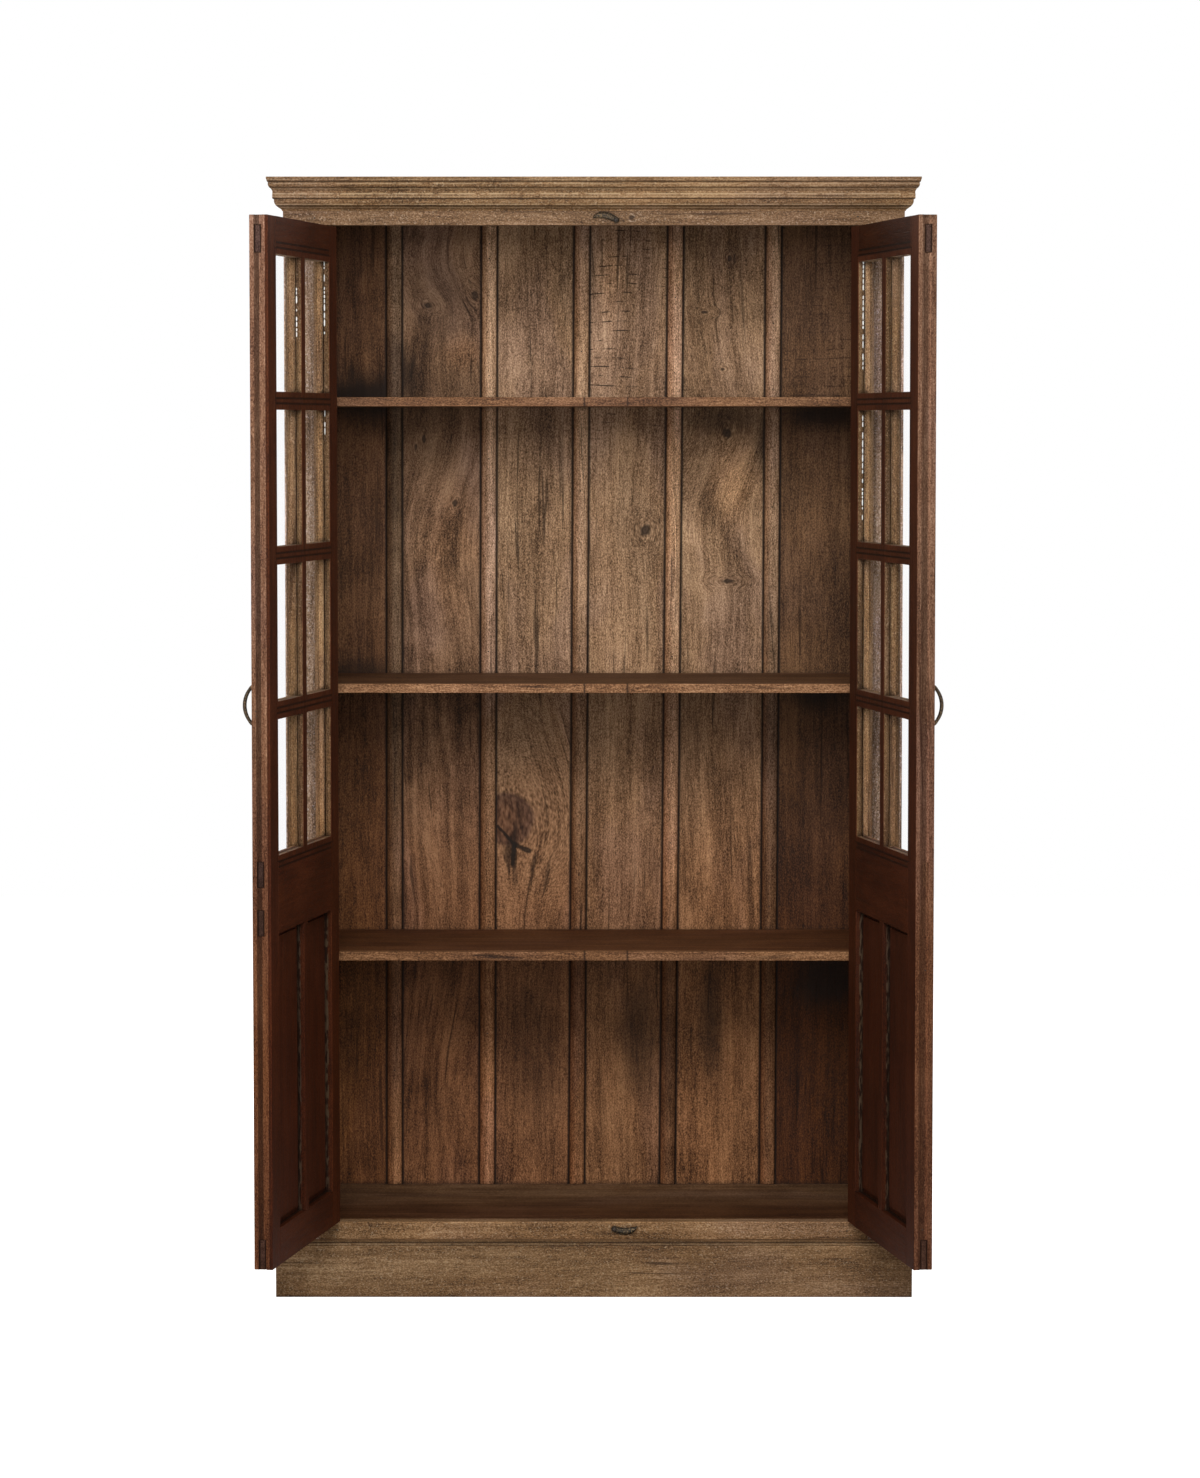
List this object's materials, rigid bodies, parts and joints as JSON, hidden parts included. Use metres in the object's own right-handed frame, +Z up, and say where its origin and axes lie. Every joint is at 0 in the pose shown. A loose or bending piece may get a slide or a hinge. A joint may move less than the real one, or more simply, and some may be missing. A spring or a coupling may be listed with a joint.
{
  "type": "display cabinet",
  "caption": "Tall wooden cabinet with fixed shelves, a moulded cornice and plinth, and glazed doors over fielded panels that swing on butt hinges, shown open.",
  "frame": {"origin": "on the floor under the plinth, midway along the cabinet, in the plane of the face frame", "axes": "+Z up, +Y from the doors towards the back, +X to the viewer's right from the front"},
  "size_m": [1.1816, 0.9229, 2],
  "materials": {
    "limed_wood": "matt",
    "back_wood": "matt",
    "shelf_wood": "satin",
    "door_wood": "satin",
    "glass": "clear",
    "iron": "satin"
  },
  "bodies": {
    "carcass": {"back_battens": "back_wood", "back_board_1": "back_wood", "back_board_2": "back_wood", "back_board_3": "back_wood", "back_board_4": "back_wood", "back_board_5": "back_wood", "back_board_6": "back_wood", "bottom_rail": "limed_wood", "cornice_front": "limed_wood", "floor_boards": "shelf_wood", "frieze_rail": "limed_wood", "hinge_pins": "iron", "hinge_stile_leaves": "iron", "left_cornice_return": "limed_wood", "left_front_stile": "limed_wood", "left_plinth_return": "limed_wood", "left_rear_post": "back_wood", "left_side_panels": "back_wood", "left_side_rails": "back_wood", "lower_shelf": "shelf_wood", "middle_shelf": "shelf_wood", "plinth_back": "limed_wood", "plinth_front": "limed_wood", "right_cornice_return": "limed_wood", "right_front_stile": "limed_wood", "right_plinth_return": "limed_wood", "right_rear_post": "back_wood", "right_side_panels": "back_wood", "right_side_rails": "back_wood", "shelf_bearers": "shelf_wood", "shelf_lippings": "shelf_wood", "top_board": "limed_wood", "turn_button_screws": "iron", "upper_shelf": "shelf_wood"},
    "left_door": {"left_door_bottom_rail": "door_wood", "left_door_glass_panes": "glass", "left_door_glazing_bars": "door_wood", "left_door_glazing_beads": "door_wood", "left_door_hinge_leaves": "iron", "left_door_hinge_stile": "door_wood", "left_door_lock_rail": "door_wood", "left_door_meeting_stile": "door_wood", "left_door_mullion": "door_wood", "left_door_panels": "door_wood", "left_door_pull": "iron", "left_door_top_rail": "door_wood"},
    "right_door": {"right_door_bottom_rail": "door_wood", "right_door_glass_panes": "glass", "right_door_glazing_bars": "door_wood", "right_door_glazing_beads": "door_wood", "right_door_hinge_leaves": "iron", "right_door_hinge_stile": "door_wood", "right_door_lock_rail": "door_wood", "right_door_meeting_stile": "door_wood", "right_door_mullion": "door_wood", "right_door_panels": "door_wood", "right_door_pull": "iron", "right_door_top_rail": "door_wood"},
    "top_turn_button": {"top_turn_button": "iron"},
    "bottom_turn_button": {"bottom_turn_button": "iron"}
  },
  "joints": [
    {"name": "left_door_hinge", "type": "hinge", "parent": "carcass", "child": "left_door", "pos_m": [-0.491, -0.0042, 1.024], "axis": [0, 0, -1], "range_deg": [-100.2, 75]},
    {"name": "right_door_hinge", "type": "hinge", "parent": "carcass", "child": "right_door", "pos_m": [0.491, -0.0042, 1.024], "axis": [0, 0, 1], "range_deg": [-100.2, 75]},
    {"name": "top_button_pivot", "type": "hinge", "parent": "carcass", "child": "top_turn_button", "pos_m": [0.0392, 0, 1.9253], "axis": [0, -1, 0], "range_deg": [0, 190]},
    {"name": "bottom_button_pivot", "type": "hinge", "parent": "carcass", "child": "bottom_turn_button", "pos_m": [0.0366, 0, 0.1205], "axis": [0, -1, 0], "range_deg": [0, 190]}
  ]
}
